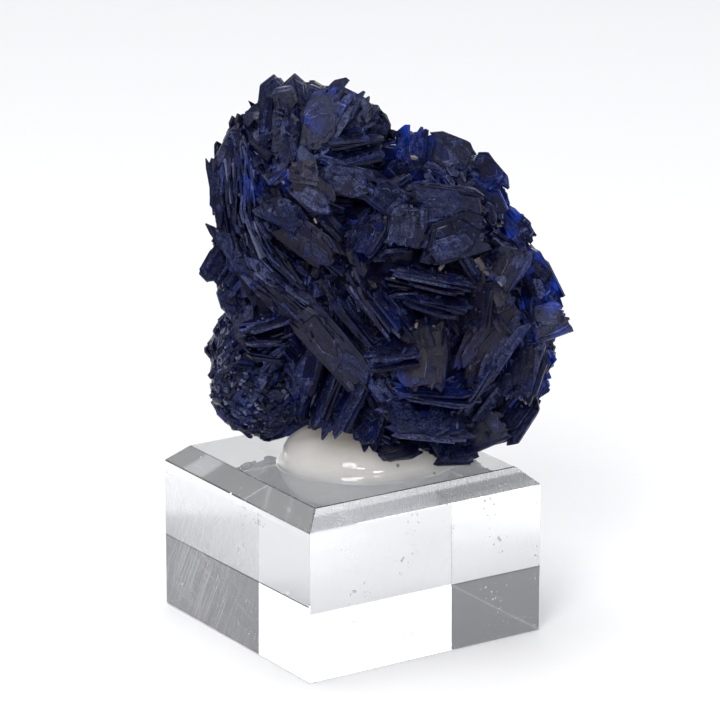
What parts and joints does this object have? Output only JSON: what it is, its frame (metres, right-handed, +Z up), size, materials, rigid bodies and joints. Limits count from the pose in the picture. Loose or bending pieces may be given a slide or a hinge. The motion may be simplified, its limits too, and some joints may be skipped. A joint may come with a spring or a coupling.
{
  "type": "mounted mineral specimen",
  "caption": "Azurite cluster of interlocking tabular crystals, glued upright on a square clear acrylic display block with a bevelled top.",
  "frame": {"origin": "middle of the acrylic block's underside", "axes": "+Z up through the block to the specimen's crown; X and Y along the block's sides. The specimen's display side faces 33 degrees clockwise from -Y, seen from above"},
  "size_m": [0.0388, 0.0369, 0.0655],
  "materials": {
    "acrylic": "clear cast acrylic, cut and polished, with fine handling scratches",
    "set_glue": "milky translucent hot-melt glue, set with a smooth glossy skin",
    "azurite": "deep blue crystals with dull, slightly greasy growth faces"
  },
  "bodies": {
    "root": {"acrylic_block": "acrylic", "glue_bead": "set_glue", "azurite_cluster": "azurite"}
  },
  "joints": []
}
